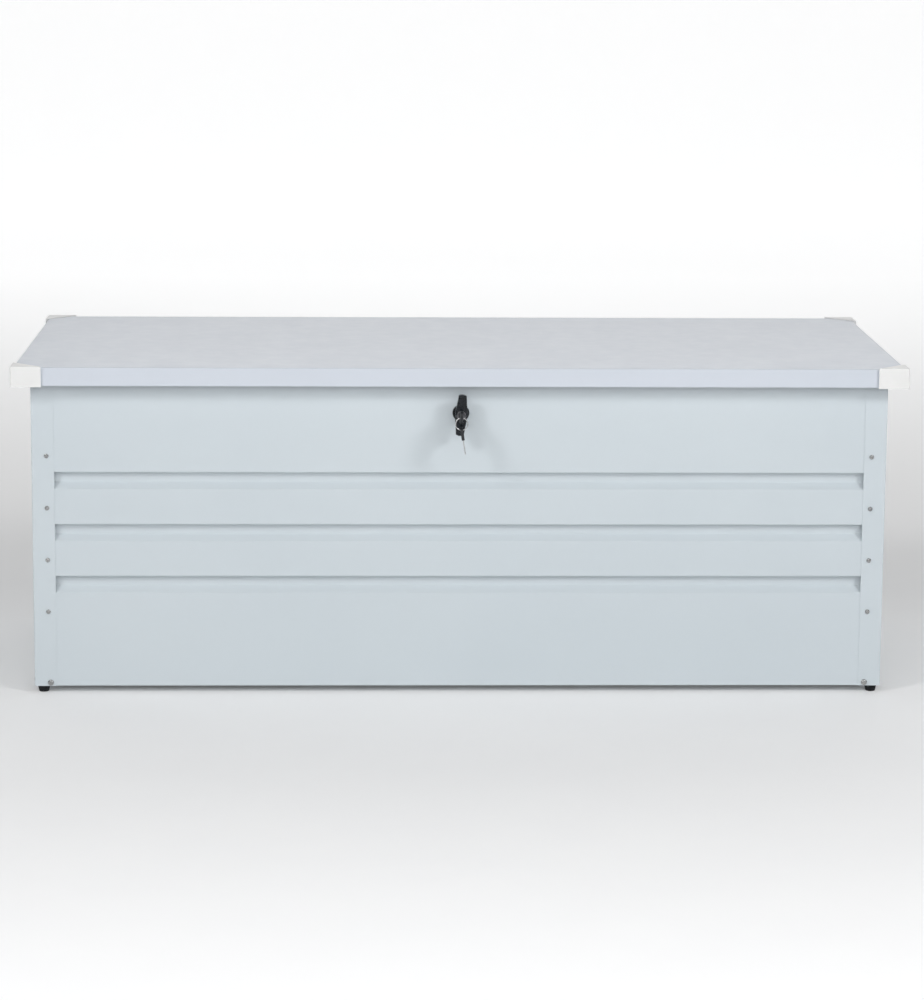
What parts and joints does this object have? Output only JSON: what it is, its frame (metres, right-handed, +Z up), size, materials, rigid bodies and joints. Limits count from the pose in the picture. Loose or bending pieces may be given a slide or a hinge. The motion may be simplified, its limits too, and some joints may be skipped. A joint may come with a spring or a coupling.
{
  "type": "deck storage box",
  "caption": "Free-standing folded-steel deck storage box with an overlapping lid on gas springs, grooved walls, plastic lid corners and a keyed T-handle latch.",
  "frame": {"origin": "floor level under the centre of the lid, midway between the four feet", "axes": "+X to the right seen from the front, along the box; +Y to the back; +Z up"},
  "size_m": [1.65, 0.738, 0.62],
  "materials": {
    "body_paint": "satin light blue-grey powder coat",
    "lid_paint": "satin light blue-grey powder coat",
    "cap_plastic": "smooth moulded white",
    "foot_rubber": "matt black",
    "bumper_rubber": "matt dark grey",
    "floor_galvanised": "galvanised sheet with a fine spangle",
    "zinc_hardware": "bright zinc plate",
    "hinge_steel": "zinc plate",
    "spring_black": "satin black paint",
    "spring_rod_chrome": "polished",
    "latch_black": "gloss black die casting",
    "lock_chrome": "polished",
    "key_plastic": "satin black",
    "key_steel": "nickel plate"
  },
  "bodies": {
    "root": {"front_panel": "body_paint", "back_panel": "body_paint", "left_side_panel": "body_paint", "right_side_panel": "body_paint", "corner_post_front_left": "body_paint", "corner_post_front_right": "body_paint", "corner_post_back_left": "body_paint", "corner_post_back_right": "body_paint", "post_screws": "zinc_hardware", "base_bolts": "zinc_hardware", "body_nuts": "zinc_hardware", "foot_front_left": "foot_rubber", "foot_front_right": "foot_rubber", "foot_back_left": "foot_rubber", "foot_back_right": "foot_rubber", "floor_pan_left": "floor_galvanised", "floor_pan_centre": "floor_galvanised", "floor_pan_right": "floor_galvanised", "floor_rail_left": "floor_galvanised", "floor_rail_right": "floor_galvanised", "floor_screws": "zinc_hardware", "lid_bumpers": "bumper_rubber", "hinge_body_leaf_left": "hinge_steel", "hinge_body_leaf_centre": "hinge_steel", "hinge_body_leaf_right": "hinge_steel", "hinge_pins": "zinc_hardware", "hinge_body_screws": "zinc_hardware", "gas_spring_body_bracket_left": "zinc_hardware", "gas_spring_body_bracket_right": "zinc_hardware", "latch_base": "latch_black", "latch_nut": "zinc_hardware"},
    "lid": {"lid_skin": "lid_paint", "lid_rib_left": "lid_paint", "lid_rib_centre": "lid_paint", "lid_rib_right": "lid_paint", "corner_cap_front_left": "cap_plastic", "corner_cap_front_right": "cap_plastic", "corner_cap_back_left": "cap_plastic", "corner_cap_back_right": "cap_plastic", "hinge_lid_leaf_left": "hinge_steel", "hinge_lid_leaf_centre": "hinge_steel", "hinge_lid_leaf_right": "hinge_steel", "hinge_lid_rivets": "zinc_hardware", "gas_spring_lid_bracket_left": "zinc_hardware", "gas_spring_lid_bracket_right": "zinc_hardware", "lid_keeper": "zinc_hardware"},
    "handle": {"t_handle": "latch_black", "lock_cylinder": "lock_chrome", "latch_cam": "zinc_hardware", "cam_screw": "zinc_hardware"},
    "plug": {"lock_plug": "lock_chrome"},
    "key": {"key_head": "key_plastic", "key_blade": "key_steel"},
    "key_ring": {"split_ring": "key_steel"},
    "spare_key": {"spare_key_head": "key_plastic", "spare_key_blade": "key_steel"},
    "spring_rod_left": {"gas_spring_rod_left": "spring_rod_chrome"},
    "spring_cylinder_left": {"gas_spring_cylinder_left": "spring_black"},
    "spring_rod_right": {"gas_spring_rod_right": "spring_rod_chrome"},
    "spring_cylinder_right": {"gas_spring_cylinder_right": "spring_black"}
  },
  "joints": [
    {"name": "lid_hinge", "type": "hinge", "parent": "root", "child": "lid", "pos_m": [0, 0.332, 0.587], "axis": [-1, 0, 0], "range_deg": [0, 75]},
    {"name": "handle_turn", "type": "hinge", "parent": "root", "child": "handle", "pos_m": [0, -0.318, 0.531], "axis": [0, 1, 0], "range_deg": [0, 90]},
    {"name": "plug_turn", "type": "hinge", "parent": "handle", "child": "plug", "pos_m": [0, -0.345, 0.531], "axis": [0, 1, 0], "range_deg": [0, 90]},
    {"name": "key_pull", "type": "slide", "parent": "plug", "child": "key", "axis": [0, -1, 0], "range_m": [0, 0.024]},
    {"name": "ring_swing", "type": "hinge", "parent": "key", "child": "key_ring", "pos_m": [0, -0.3765, 0.531], "axis": [-1, 0, 0], "range_deg": [-8, 60]},
    {"name": "spare_key_swing", "type": "hinge", "parent": "key_ring", "child": "spare_key", "pos_m": [0, -0.3765, 0.5086], "axis": [-1, 0, 0], "range_deg": [-8, 45]},
    {"name": "spring_rod_pivot_left", "type": "hinge", "parent": "root", "child": "spring_rod_left", "pos_m": [-0.755, 0.22915, 0.34277], "axis": [-1, 0, 0], "range_deg": [0, 37.5]},
    {"name": "spring_cylinder_pivot_left", "type": "hinge", "parent": "lid", "child": "spring_cylinder_left", "pos_m": [-0.755, 0.06719, 0.577], "axis": [-1, 0, 0], "range_deg": [-37.5, 0]},
    {"name": "spring_rod_pivot_right", "type": "hinge", "parent": "root", "child": "spring_rod_right", "pos_m": [0.755, 0.22915, 0.34277], "axis": [-1, 0, 0], "range_deg": [0, 37.5]},
    {"name": "spring_cylinder_pivot_right", "type": "hinge", "parent": "lid", "child": "spring_cylinder_right", "pos_m": [0.755, 0.06719, 0.577], "axis": [-1, 0, 0], "range_deg": [-37.5, 0]}
  ],
  "couplings": [
    {"joint": "spring_rod_pivot_left", "follows": "lid_hinge", "ratio": 0.5},
    {"joint": "spring_cylinder_pivot_left", "follows": "lid_hinge", "ratio": -0.5},
    {"joint": "spring_rod_pivot_right", "follows": "lid_hinge", "ratio": 0.5},
    {"joint": "spring_cylinder_pivot_right", "follows": "lid_hinge", "ratio": -0.5}
  ]
}
